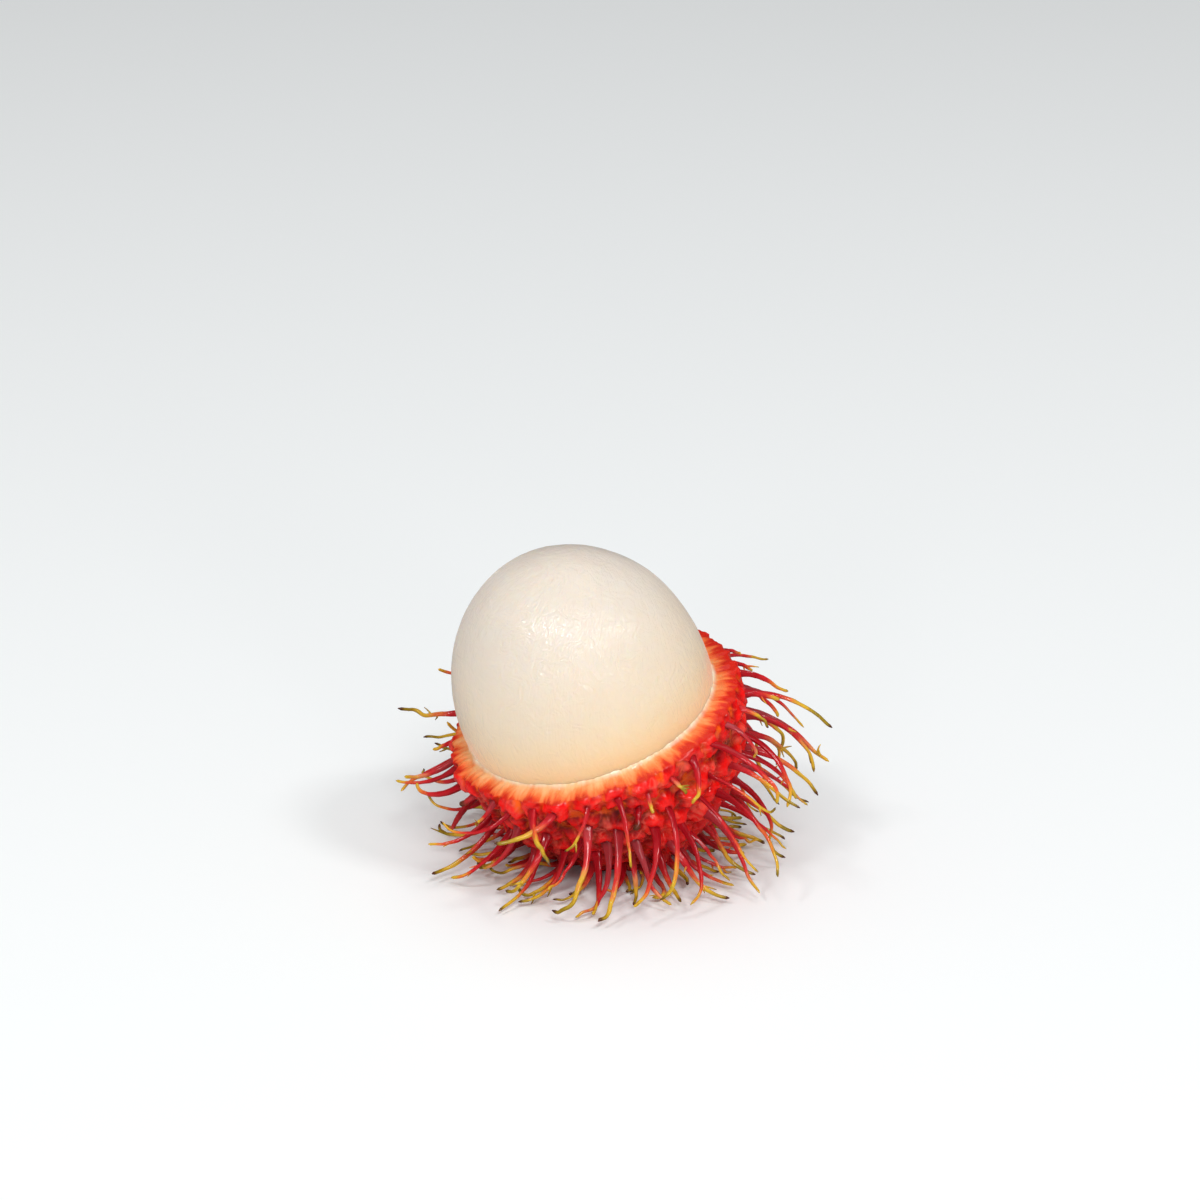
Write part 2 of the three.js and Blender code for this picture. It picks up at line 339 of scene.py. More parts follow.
# Where the spines stand, and how each one grows.
SPINE_COUNT = 160
SPINE_LENGTH = (11.5, 16.0)
RIM_SPINES = 32
RIM_SHORTEST = 0.25
ROW_GAP = 2.6  # from the row under the cut to the others
SPINE_FOOT_LENGTH = 0.5  # a spine at the foot has this share of the usual length
FOOT_HEIGHT = 13
BROKEN_SPINES = 0.03
BROKEN_LENGTH = 0.3
SPINE_ROOT = 0.7  # how deep it starts in the rind
SPINE_SCATTER = 1.1
RIM_MARGIN = 1.3
LEAST_RING = 0.1
GOLDEN_ANGLE = math.pi * (3 - math.sqrt(5))
FLARE_RADIUS = 0.2
FLARE_LENGTH = 0.08
TAPER_RADIUS = 0.26
TAPER_POWER = 1.4
TIP_RADIUS = 0.17
STOUTNESS = (0.8, 1.3)
PATH_STEPS = 50
LEAN = 0.3
COMB = 0.05
BACKSWEEP = 0.3  # a spine starts back a little, then sweeps round the peel and down
SWEEP_ROUND = 0.8
SWEEP_DOWN = 0.45
BEND = (1.0, 2.3)
HOOK = (0.2, 2.6)  # how far its tip curls
HOOK_START = 0.8
HOOK_STRAY = 2.5
FLOOR_GAP = 0.08
LANDING_HEIGHT = 3.5  # it starts to level out this far above the table
LANDING_SPREAD = 0.5

seed = 20


def random():
    """Park and Miller's generator."""
    global seed
    seed = seed * 16807 % 2147483647
    return seed / 2147483647


def between(low, high):
    return low + (high - low) * random()


def random_way():
    return np.array([random() - 0.5 for _ in range(3)])


def spine_radius(share):
    """The radius of a spine of usual stoutness, at a share of its length from its root."""
    flare = FLARE_RADIUS * math.exp(-share / FLARE_LENGTH)
    return flare + TIP_RADIUS + TAPER_RADIUS * (1 - share) ** TAPER_POWER


def grow(base, start, length, stout, sweep, bend, curl, hook):
    """The line that a spine grows along. It turns towards sweep, its tip towards curl, and it levels out
    over the table."""
    point, heading = base.copy(), start.copy()
    outward = unit((base[0], base[1], 0))
    path = [point.copy()]
    for i in range(1, PATH_STEPS + 1):
        share = i / PATH_STEPS
        hooked = hook / (1 - HOOK_START) if share > HOOK_START else 0
        bent = (sweep - heading * (sweep @ heading)) * bend / PATH_STEPS
        curled = (curl - heading * (curl @ heading)) * hooked / PATH_STEPS
        heading = unit(heading + bent + curled)
        clear = point[2] - FLOOR_GAP - stout * (spine_radius(share) if share < 1 else 0)
        steepest = -min(1, max(0, clear / LANDING_HEIGHT))
        if heading[2] < steepest:
            heading = heading + outward * (steepest - heading[2]) * LANDING_SPREAD
            heading[2] = steepest
            heading = unit(heading)
        point = point + heading * length / PATH_STEPS
        path.append(point.copy())
    return np.array(path)


def spine_spots():
    """The level on the peel's axis, the angle round it and the least share of its length, for each spine.
    There is a row just under the cut, and a golden spiral from the foot up to it."""
    row = (RIM_DROP + RIM_BEVEL + RIM_MARGIN) / PEEL_HALF_LENGTH
    rest = 1 - row - ROW_GAP / PEEL_HALF_LENGTH
    rim = [(-row, 2 * math.pi * i / RIM_SPINES, RIM_SHORTEST) for i in range(RIM_SPINES)]
    spiral = [(-1 + (i + 0.5) / SPINE_COUNT * rest, i * GOLDEN_ANGLE, 1) for i in range(SPINE_COUNT)]
    return rim + spiral


def make_spines():
    """The line and the stoutness of each spine, and where and which way it leaves the peel."""
    turn = along(PEEL_AXIS)
    grown = []
    for even_level, even_angle, shortest in spine_spots():
        scatter = [(random() - 0.5) * SPINE_SCATTER, (random() - 0.5) * SPINE_SCATTER]
        length = between(*SPINE_LENGTH) * between(shortest, 1)
        stout = between(*STOUTNESS)
        bend = between(*BEND)
        hook = between(*HOOK)
        stray = random_way()
        lean = random_way()
        broken = random() < BROKEN_SPINES

        level = even_level + scatter[0] / PEEL_HALF_LENGTH
        ring = math.sqrt(max(0, 1 - level * level))
        angle = even_angle + scatter[1] / (PEEL_RADIUS * max(ring, LEAST_RING))
        spot = np.array([ring * math.cos(angle), level, -ring * math.sin(angle)])
        normal = unit(turn @ (spot / PEEL_SIZE))
        base = turn @ (spot * PEEL_SIZE) + PEEL_CENTRE
        root = base - normal * SPINE_ROOT
        if root[2] < SPINE_ROOT + stout * spine_radius(0):
            continue

        way_round = np.cross((0, 1, 0), normal)
        sweep = unit(way_round * SWEEP_ROUND - PEEL_AXIS * SWEEP_DOWN + stray)
        curl = unit(sweep + stray * HOOK_STRAY)
        start = unit(normal + lean * LEAN - PEEL_AXIS * COMB - way_round * BACKSWEEP)
        kept = SPINE_FOOT_LENGTH + (1 - SPINE_FOOT_LENGTH) * min(1, root[2] / FOOT_HEIGHT)
        kept *= BROKEN_LENGTH if broken else 1
        path = grow(root, start, length * kept, stout, sweep, bend, curl, hook)
        grown.append({"base": base, "normal": normal, "path": path, "stout": stout, "broken": broken})
    return grown


spine_lines = make_spines()

# The mesh of the rind: rings of points up the outside, over the cut and down the inside.
RIND_COLUMNS = 500
SKIN_RINGS = 132
CUT_RINGS = 26
INSIDE_RINGS = 16
INNER_PASSES = 4  # to find where the cut meets the flesh
LUMP = 0.55  # how high the skin swells behind a spine
LUMP_RADIUS = 2.0
LUMP_BACK = 0.75  # how far behind the spine its lump stands
LUMP_BACK_SPREAD = (0.4, 1.2)
LUMP_SPREAD = (0.45, 1.25)
BEAD = 0.75  # the round top of a lump
BEAD_RADIUS = 1.6
BEAD_RADIUS_SPREAD = (0.8, 1.2)
BEAD_ROUNDNESS = 1.1
BEAD_WANDER = 0.3
LUMPS_NEAR = 4  # how many lumps shape each point of the skin
HEADING_STEP = 12  # a spine's heading is taken this many steps along its line
POCKET = 0.45  # depth of the pocket that the spine leaves the lump by
POCKET_RADIUS = 0.75
POCKET_AHEAD = 0.6
POCKET_BACK = (0.5, -0.3)  # it is deeper behind the spine than in front
POCKET_FRONT_SHARE = 0.35
FURROW = 0.4  # depth of the furrows between lumps
FURROW_WIDTH = 1.9
FURROW_SPAN = (-7.0, -4.0)  # near the cut they are shallower
FURROW_SHALLOWER = 0.6
WARP = 0.6  # how far the furrows wander
WARP_SIZE = 1.4
WANDER_SIZE = 1.6
FOLD = 0.30  # height of the folds that run out from a spine
FOLDS_ROUND = 6
FOLD_PHASE = 2.4  # from one spine's folds to the next one's
FOLD_WANDER = 1.6
FOLD_START = (0.7, 1.4)
FOLD_END = (3.4, 2.0)
FOLD_EDGE = 0.8
CRUMPLE = 0.16  # lumpy unevenness of the wet skin
CRUMPLE_SIZE = 2.4
CREST = 0.12  # thin wandering crests
CREST_SIZE = 2.2
CREST_STEEPNESS = 3.5
CREST_SHARPNESS = 3
GOLDEN_SHARE = 0.618  # these two give each lump its own size without a pattern
OTHER_SHARE = 0.414
# Across the cut, 0 is the skin and 1 is the flesh.
FILM_GAP = -0.5  # the film clings to the flesh and is sunk in it a little
FILM_BASE = 0.25
FILM_HEIGHT = 0.3
FILM_LIP = (0.72, 0.86)
FILM_STEP = (0.76, 0.86)
FILM_FADE = (0.74, 0.86)  # where the pith's colour gives way to the film's
FILM_EVEN = 0.6  # its torn edge is this high, give or take fine and broad waves
FILM_FINE = 0.45
FILM_FINE_SIZE = 0.5
FILM_BROAD = 0.4
FILM_BROAD_SIZE = 2.5
FILM_TORN = (0.1, 1.3)
BULGE = 0.45  # a lump at the cut swells over its edge
BULGE_SHARE = 0.22
PITH_SWELL = 0.35
SWELL_LEAN = 0.7  # under 1 it is highest near the skin
PITH_EVEN = 0.65
PITH_LUMPY = 0.5
PITH_LUMP_SIZE = 2.4
PITH_FIBRE = 0.07
PITH_FIBRE_SIZE = 0.6
FIBRE_RUN = 0.5  # the fibres run across the cut and change over this depth
FLUTE = 0.2  # ripples where the rind was bent outward, on its -X side
FLUTES_ROUND = 58
FLUTE_EVEN = 0.6
FLUTE_UNEVEN = 1.2
FLUTE_STRAY = 9.0
FLUTE_SIZE = 3.5
FLUTE_FADE_SIZE = 2.0
FLUTE_LEAN = 0.8
FLUTED_SIDE = (0.5, 0.85)
FLUTE_GRAIN = 1.5
EAST_SIDE = (0.1, 0.9)  # the cut is redder towards +X
FILM_END = 0.12  # the film ends at this share of the way down the inside


bases = np.array([line["base"] for line in spine_lines])
normals = np.array([line["normal"] for line in spine_lines])
ahead = np.array([unit(line["path"][HEADING_STEP] - line["path"][0]) for line in spine_lines])
ahead = ahead - normals * np.sum(ahead * normals, axis=1, keepdims=True)
uneven = np.modf(np.arange(len(bases)) * GOLDEN_SHARE)[0]


def spread(share, low_high):
    """The value at a share of the way from low to high."""
    return low_high[0] + (low_high[1] - low_high[0]) * share


def nearest_lumps(points):
    """The lumps nearest to each point, nearest first, and how far off they are."""
    centres = bases - ahead * LUMP_BACK * spread(uneven[::-1, None], LUMP_BACK_SPREAD)
    far = np.linalg.norm(points[:, None, :] - centres[None], axis=2)
    order = np.argpartition(far, LUMPS_NEAR, axis=1)[:, :LUMPS_NEAR]
    close = np.take_along_axis(far, order, axis=1)
    by_distance = np.argsort(close, axis=1)
    return np.take_along_axis(order, by_distance, axis=1), np.take_along_axis(close, by_distance, axis=1)


def pockets(points, nearest):
    """How deep each point lies in the pocket of its nearest spine, from 0 to 1."""
    away = points - (bases + ahead * POCKET_AHEAD)[nearest]
    behind = smooth(np.sum(away * ahead[nearest], axis=1), *POCKET_BACK)
    deep = np.exp(-((np.linalg.norm(away, axis=1) / POCKET_RADIUS) ** 2))
    return deep * spread(behind, (POCKET_FRONT_SHARE, 1))


def folds(points, nearest, near, to_edge, wander):
    """How high each point is on the folds that run out from its nearest spine, from 0 to 1."""
    side = np.cross(normals[nearest], PEEL_AXIS)
    side /= np.linalg.norm(side, axis=1, keepdims=True)
    up = np.cross(side, normals[nearest])
    away = points - bases[nearest]
    angle = np.arctan2(np.sum(away * side, axis=1), np.sum(away * up, axis=1))
    phase = nearest * FOLD_PHASE + wander * FOLD_WANDER
    fold = np.clip(np.cos(FOLDS_ROUND * angle + phase), 0, 1) ** 2
    return fold * smooth(near, *FOLD_START) * smooth(near, *FOLD_END) * smooth(to_edge, 0.0, FOLD_EDGE)


def skin_relief(points):
    """How far the skin stands out at each point, and the marks that its material reads."""
    flat = points.reshape(-1, 3)
    warp = [relief(flat, WARP_SIZE, seed=12 + k) for k in range(3)]
    order, close = nearest_lumps(flat + WARP * np.stack(warp, axis=1))
    nearest, near, to_edge = order[:, 0], close[:, 0], close[:, 1] - close[:, 0]
    wander = relief(flat, WANDER_SIZE, seed=3)
    pocket = pockets(flat, nearest)
    fold = folds(flat, nearest, near, to_edge, wander)

    size = spread(uneven[order], LUMP_SPREAD)
    reach = BEAD_RADIUS * spread(np.modf(order * OTHER_SHARE)[0], BEAD_RADIUS_SPREAD)
    off_bead = (close + BEAD_WANDER * wander[:, None]) / reach
    beads = np.clip(1 - off_bead**2, 0, 1) ** BEAD_ROUNDNESS
    lump = np.sum(size * (LUMP * np.exp(-((close / LUMP_RADIUS) ** 2)) + BEAD * beads), axis=1)
    bead = np.clip(np.sum(beads, axis=1), 0, 1)

    furrow = 1 - smooth(to_edge, 0.0, FURROW_WIDTH)
    near_cut = smooth((flat - PEEL_CENTRE) @ PEEL_AXIS, *FURROW_SPAN)
    sunk = FURROW * (1 - FURROW_SHALLOWER * near_cut) * furrow + POCKET * pocket
    crumple = relief(flat, CRUMPLE_SIZE, seed=4, octaves=1)
    crest = np.clip(1 - np.abs(relief(flat, CREST_SIZE, seed=5)) * CREST_STEEPNESS, 0, 1)
    height = lump - sunk + FOLD * fold + CRUMPLE * crumple + CREST * crest**CREST_SHARPNESS
    marks = {"furrow": furrow, "fold": fold, "pocket": pocket, "bead": bead, "high": height}
    shape = points.shape[:-1]
    return height.reshape(shape), {name: values.reshape(shape) for name, values in marks.items()}


def on_flesh(points, gap):
    """Points moved straight from or to the flesh's centre until they are this far off the flesh."""
    turn = along(FLESH_AXIS)
    local = (points - FLESH_CENTRE) @ turn
    size = np.array([FLESH_RADIUS + gap, FLESH_HALF_LENGTH + gap, FLESH_RADIUS + gap])
    local /= np.linalg.norm(local / size, axis=-1, keepdims=True)
    return local @ turn.T + FLESH_CENTRE


def make_skin(turn, round_it, cut_angle):
    """The rings of the outside, from the foot up to the cut, and their marks."""
    slope = np.linspace(0, cut_angle, SKIN_RINGS + 1)[1:, None]
    ball = np.stack(
        [
            np.sin(slope) * np.cos(round_it),
            -np.cos(slope) * np.ones_like(round_it),
            -np.sin(slope) * np.sin(round_it),
        ],
        axis=-1,
    )
    skin = ball * PEEL_SIZE @ turn.T + PEEL_CENTRE
    normal = (ball / PEEL_SIZE) @ turn.T
    normal /= np.linalg.norm(normal, axis=-1, keepdims=True)
    height, marks = skin_relief(skin)
    return skin + normal * height[..., None], marks


def make_cut(outer, spoke, round_it, bead):
    """The rings of the cut, from the skin's edge to the film against the flesh, and their marks."""
    level = PEEL_CENTRE - PEEL_AXIS * RIM_DROP
    inner = level + spoke * FLESH_RADIUS
    for _ in range(INNER_PASSES):
        inner = on_flesh(inner, FILM_GAP)
        inner = inner - ((inner - level) @ PEEL_AXIS)[..., None] * PEEL_AXIS
    across = np.linspace(0, 1, CUT_RINGS + 1)[1:, None]
    cut = outer + (inner - outer) * across[..., None]

    fibre = relief(inner + PEEL_AXIS * across[..., None] * FIBRE_RUN, PITH_FIBRE_SIZE, seed=6)
    lumpy = PITH_EVEN + PITH_LUMPY * relief(inner, PITH_LUMP_SIZE, seed=7)
    swell = np.sin(math.pi * across**SWELL_LEAN) * lumpy
    stray = FLUTE_STRAY * relief(inner, FLUTE_SIZE, seed=8)
    ripple = np.cos(FLUTES_ROUND * round_it + stray)
    ripple = ripple * (FLUTE_EVEN + FLUTE_UNEVEN * relief(inner, FLUTE_FADE_SIZE, seed=11))
    flutes = smooth(-spoke[..., 0], *FLUTED_SIDE) * ripple * np.sin(math.pi * across**FLUTE_LEAN)
    torn = FILM_EVEN + FILM_FINE * relief(inner, FILM_FINE_SIZE, seed=9)
    torn = torn + FILM_BROAD * relief(inner, FILM_BROAD_SIZE, seed=10)

    rise = FILM_BASE * smooth(across, *FILM_LIP)
    rise = rise + FILM_HEIGHT * smooth(across, *FILM_STEP) * np.clip(torn, *FILM_TORN)
    rise = rise + PITH_SWELL * swell + FLUTE * flutes
    rise = rise + PITH_FIBRE * fibre * np.sin(math.pi * across)
    rise = rise + BULGE * bead * np.exp(-((across / BULGE_SHARE) ** 2))
    film = smooth(across, *FILM_FADE) * np.clip(torn, 0, 1)
    marks = {"across": across + 0 * fibre, "film": film, "grain": fibre + FLUTE_GRAIN * flutes}
    return cut + PEEL_AXIS * rise[..., None], marks


def make_inside(spoke, cut_angle):
    """The rings under the flesh, from the cut down, and how far down each is."""
    down = np.linspace(0, 1, INSIDE_RINGS + 2)[1:-1, None, None]
    angle = cut_angle * (1 - down)
    bowl = np.sin(angle) * spoke * FLESH_RADIUS - PEEL_AXIS * np.cos(angle) * FLESH_HALF_LENGTH
    gap = FILM_GAP + (FLESH_GAP - FILM_GAP) * smooth(down, 0.0, FILM_END)
    inside = [on_flesh(ring + PEEL_CENTRE, ring_gap.item()) for ring, ring_gap in zip(bowl, gap)]
    return np.stack(inside), down[..., 0] * np.ones(RIND_COLUMNS)


def make_rind():
    """The whole rind: up the outside, over the cut and down the inside."""
    turn = along(PEEL_AXIS)
    round_it = np.linspace(0, 2 * math.pi, RIND_COLUMNS, endpoint=False)[None, :]
    spoke = np.stack([np.cos(round_it), 0 * round_it, -np.sin(round_it)], axis=-1) @ turn.T
    cut_angle = math.acos((RIM_DROP + RIM_BEVEL) / PEEL_HALF_LENGTH)
    skin, skin_marks = make_skin(turn, round_it, cut_angle)
    cut, cut_marks = make_cut(skin[-1:], spoke, round_it, skin_marks["bead"][-1:])
    inside, down = make_inside(spoke, cut_angle)

    # The skin's marks run on over the cut, where a bead ends at its furrow.
    edge = {name: np.repeat(values[-1:], CUT_RINGS, axis=0) for name, values in skin_marks.items()}
    edge["bead"] = edge["bead"] - edge["furrow"]
    marks = {name: np.concatenate([skin_marks[name], edge[name], 0 * down]) for name in edge}
    below = (skin - PEEL_CENTRE) @ PEEL_AXIS + RIM_DROP + RIM_BEVEL
    marks["across"] = np.concatenate([below, cut_marks["across"], 1 + down])
    marks["film"] = np.concatenate([0 * below, cut_marks["film"], 1 + 0 * down])
    marks["grain"] = np.concatenate([0 * below, cut_marks["grain"], 0 * down])
    marks["east"] = smooth(spoke[..., 0], *EAST_SIDE) + 0 * marks["across"]
    marks["around"] = PEEL_RADIUS * np.abs(round_it - math.pi) + 0 * marks["across"]

    foot = PEEL_CENTRE - PEEL_AXIS * PEEL_HALF_LENGTH
    tip = on_flesh(PEEL_CENTRE - PEEL_AXIS * FLESH_HALF_LENGTH, FLESH_GAP)
    points, faces = closed_body(foot, np.concatenate([skin, cut, inside]), tip)
    points[:, 2] = np.maximum(points[:, 2], 0)
    return make_piece("rind", points, faces, {name: with_ends(values) for name, values in marks.items()})


def wet_rind():
    """Wet red skin with orange furrows and painted shade in its dips, and a cut that goes from red through
    orange to the cream film.
    Heights are in millimetres, depths are millimetres below the cut, and across the cut is 0 to 1."""
    scarlet = (0.95, 0.005, 0.003)
    crimson = (0.42, 0.002, 0.004)
    orange = (0.98, 0.115, 0.004)
    pale_pink = (0.90, 0.14, 0.09)
    painted_shade_maroon = (0.10, 0.001, 0.002)
    pith_edge = (0.62, 0.018, 0.008)
    pith_middle = (0.86, 0.13, 0.035)
    pith_outer = (0.90, 0.27, 0.085)
    pith_inner = (0.93, 0.50, 0.24)
    cream = (0.96, 0.86, 0.66)
    material, tree, shader = start_material("wet_rind")
    place = place_on_fruit(tree)
    across = mark(tree, "across")

    # The skin is painted by its height: maroon in the dips as painted shade, scarlet on the lumps, and
    # duller towards the foot.
    crimson_height, scarlet_height, patch_height = (-0.2, 0.45), (0.25, 1.0), 0.3
    foot_depth, foot_share = (-6.0, -16.0), 0.55
    patch = use(tree, mottle, {"Place": place, "Size": 3.0, "Low": 0.35, "High": 0.65})["Patch"]
    level = calc(tree, "ADD", mark(tree, "high"), calc(tree, "MULTIPLY", patch, patch_height))
    skin = blend(tree, step(tree, level, *crimson_height), painted_shade_maroon, crimson)
    skin = blend(tree, step(tree, level, *scarlet_height), skin, scarlet)
    skin = blend(tree, step(tree, across, *foot_depth, 0.0, foot_share), skin, crimson)

    # The furrows are orange here and there, most of all near the cut.
    orange_furrow, orange_share, least_at_cut = (0.35, 1.0), 0.65, 0.3
    high_depth, least_low, cut_depth = (-9.0, -1.5), 0.1, (-2.6, -0.4)
    bright = use(tree, mottle, {"Place": place, "Size": 1.7, "Low": 0.4, "High": 0.62})["Patch"]
    high_up = step(tree, across, *high_depth, least_low, 1.0)
    at_cut = step(tree, across, *cut_depth)
    at_cut = calc(tree, "MULTIPLY", at_cut, step(tree, bright, 0.0, 1.0, least_at_cut, 1.0))
    bright = calc(tree, "MAXIMUM", calc(tree, "MULTIPLY", bright, orange_share), at_cut)
    furrow = step(tree, mark(tree, "furrow"), *orange_furrow)
    furrow = calc(tree, "MULTIPLY", furrow, calc(tree, "MULTIPLY", bright, high_up))
    skin = blend(tree, furrow, skin, orange)

    # Folds and thin crests are paler in wisps, and the pockets of the spines are painted dark as painted
    # shade.
    pale_fold, pale_share = (0.4, 1.0), 0.6
    pocket_shade, pocket_shade_share = (0.3, 0.9), 0.9
    crest = use(tree, wrinkles, {"Place": place, "Size": 3.0, "Wander": 1.0})["Crest"]
    wisp = use(tree, mottle, {"Place": place, "Size": 2.5, "Low": 0.45, "High": 0.65})["Patch"]
    pale = calc(tree, "MAXIMUM", step(tree, mark(tree, "fold"), *pale_fold), crest)
    pale = calc(tree, "MULTIPLY", calc(tree, "MULTIPLY", pale, wisp), pale_share)
    skin = blend(tree, pale, skin, pale_pink)
    skin = blend(tree, step(tree, mark(tree, "pocket"), *pocket_shade, 0.0, pocket_shade_share), skin, painted_shade_maroon)

    # The pith gets paler across the cut. Its fibres, beads and +X side put the change off or bring it on.
    grain_reach, grain_shift, thread_shift = (-0.7, 0.9), 0.09, 0.1
    bead_shift, east_shift = 0.22, 0.3
    middle_from, outer_from, inner_from = (-0.1, 0.3), (0.1, 0.55), (0.35, 1.0)
    grain = step(tree, mark(tree, "grain"), *grain_reach, -grain_shift, grain_shift)
    thread = add(tree, "CombineXYZ", {"X": mark(tree, "around"), "Y": across}).outputs[0]
    threads = use(tree, mottle, {"Place": thread, "Size": 0.7, "Low": 0.35, "High": 0.65})["Patch"]
    threads = step(tree, threads, 0.0, 1.0, -thread_shift, thread_shift)
    ripe = calc(tree, "ADD", calc(tree, "ADD", across, grain), threads)
    ripe = calc(tree, "SUBTRACT", ripe, calc(tree, "MULTIPLY", mark(tree, "bead"), bead_shift))
    ripe = calc(tree, "SUBTRACT", ripe, calc(tree, "MULTIPLY", mark(tree, "east"), east_shift))
    pith = blend(tree, step(tree, ripe, *middle_from), pith_edge, pith_middle)
    pith = blend(tree, step(tree, ripe, *outer_from), pith, pith_outer)
    pith = blend(tree, step(tree, ripe, *inner_from), pith, pith_inner)
    pith = blend(tree, mark(tree, "film"), pith, cream)
    cut_edge = (-0.05, 0.06)
    on_cut = step(tree, across, *cut_edge)
    tree.links.new(blend(tree, on_cut, skin, pith), shader.inputs["Base Color"])

    # The skin is wettest on its lumps, and the cut is drier than the skin.
    least_rough, most_rough, cut_rougher = 0.22, 0.36, 0.12
    wet_bead, least_wet, cut_wet = (0.1, 0.7), 0.5, 0.3
    rough = step(tree, bright, 0.0, 1.0, least_rough, most_rough)
    rough = calc(tree, "ADD", rough, calc(tree, "MULTIPLY", on_cut, cut_rougher))
    tree.links.new(rough, shader.inputs["Roughness"])
    wet = step(tree, mark(tree, "bead"), *wet_bead, least_wet, 1.0)
    wet = calc(tree, "MULTIPLY", wet, step(tree, on_cut, 0.0, 1.0, 1.0, cut_wet))
    tree.links.new(wet, shader.inputs["Coat Weight"])
    shader.inputs["Coat Roughness"].default_value = 0.05
    shader.inputs["Coat IOR"].default_value = 1.75
    shader.inputs["Specular IOR Level"].default_value = 0.05

    fine_share = 0.15
    crinkle = use(tree, wrinkles, {"Place": place, "Size": 1.0, "Wander": 1.5})
    fine = use(tree, wrinkles, {"Place": place, "Size": 0.5, "Wander": 1.0})
    height = calc(tree, "ADD", crinkle["Height"], calc(tree, "MULTIPLY", fine["Height"], fine_share))
    bump = add(tree, "Bump", {"Height": height, "Strength": 0.5, "Distance": 0.12 * MM})
    tree.links.new(bump.outputs["Normal"], shader.inputs["Normal"])
    shader.inputs["Subsurface Weight"].default_value = 0.2
    shader.inputs["Subsurface Radius"].default_value = (1.0, 0.25, 0.12)
    shader.inputs["Subsurface Scale"].default_value = 0.9 * MM
    return material


rind = make_rind()
rind.data.materials.append(wet_rind())
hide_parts("peel")
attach(rind, "root")


# ---- Spines ------------------------------------------------------------------------------------------
# The soft spines that grow out of the rind and are one with it: crimson and ridged at the root, with
# painted shade where they leave the skin, then orange and yellow-green, with a dry brown end. They are a
# little flat. Some have barbs and a few are broken off.

SPINE_SIDES = 12
SPINE_RINGS = 34
WIDE = (1.0, 1.3)  # a spine is this much wider than round at its root
TIP_WIDE = 1.1
TWIST = 1.2
RIDGE = 0.34  # depth of the ridges at a spine's root
RIDGES_ROUND = 3
RIDGE_LENGTH = 0.4
KINK = 0.22  # how far the outer part wanders
KINKED = 3.0  # times that far on a kinked spine, and less on the others
UNKINKED = 0.8
KINKED_SPINES = 0.15
KINK_START = (0.3, 1.0)
KINKS_ALONG = 7
UNEVEN_RADIUS = 0.16
UNEVEN_ALONG = 12
NOISE_ROW = 0.5
STRAY_STARTS = 100
SIDE_START = 9
RADIUS_START = 50
STUMP_RADIUS = 0.4  # a broken spine is at least this thick at its end
DRY_SHARE = (0.6, 1.0)  # where a broken spine dries out
LYING_GAP = 0.02
ROUNDED_END = 0.09
BARBED_SPINES = 0.3
MORE_BARBS = 2.2  # up to two more than one
BARB_PLACE = (0.45, 0.9)
BARB_LENGTH = (0.6, 1.7)
BARB_RADIUS = 0.2
BARB_TAPER = 0.75
BARB_LEAN = 0.7  # towards the spine's end
BARB_BEND = 0.35
BARB_SIDES = 6
BARB_RINGS = 5
BARB_STREAK = 0.5  # a barb has one streak all round
END_SHARE = 0.97
SUNK_SHARE = 0.06  # the part of a spine that is sunk in the skin is narrower
SUNK_MORE = 0.8
SUNK_RADIUS = 0.4
ROOT_SWELL = 0.12  # the root spreads into the skin
ROOT_SWELL_SHARE = 0.1
OFF_AXIS = (0.3, 0.5, 0.8)  # any direction that no root points in


def frames(path):
    """Two directions square to the path at each of its points, carried along it without twist."""
    ahead = np.gradient(path, axis=0)
    ahead /= np.linalg.norm(ahead, axis=1, keepdims=True)
    across = unit(np.cross(ahead[0], OFF_AXIS))
    found = []
    for way in ahead:
        across = unit(across - way * (across @ way))
        found.append((across, np.cross(way, across)))
    return np.array(found)


def tube(path, radii, sides, wide=1.0, twist=0.0, ridge=0.0, phase=0.0):
    """Rings of points round a path. Wide is how much flatter than round they are, and twist turns them."""
    share = np.linspace(0, 1, len(path))[:, None]
    angle = np.linspace(0, 2 * math.pi, sides, endpoint=False)[None, :]
    ridges = 1 + ridge * np.cos(RIDGES_ROUND * angle + phase) * np.exp(-share / RIDGE_LENGTH)
    radius = radii[:, None] * ridges
    flat = radius * wide * np.cos(angle)
    deep = radius / wide * np.sin(angle)
    roll = phase + twist * share
    right = flat * np.cos(roll) - deep * np.sin(roll)
    over = flat * np.sin(roll) + deep * np.cos(roll)
    square = frames(path)
    return path[:, None] + right[..., None] * square[:, None, 0] + over[..., None] * square[:, None, 1]


def wobble(share, waves, row):
    """Noise along a spine, from about -1 to 1."""
    return np.array([noise.noise(Vector((row + waves * s, row, NOISE_ROW))) for s in share])


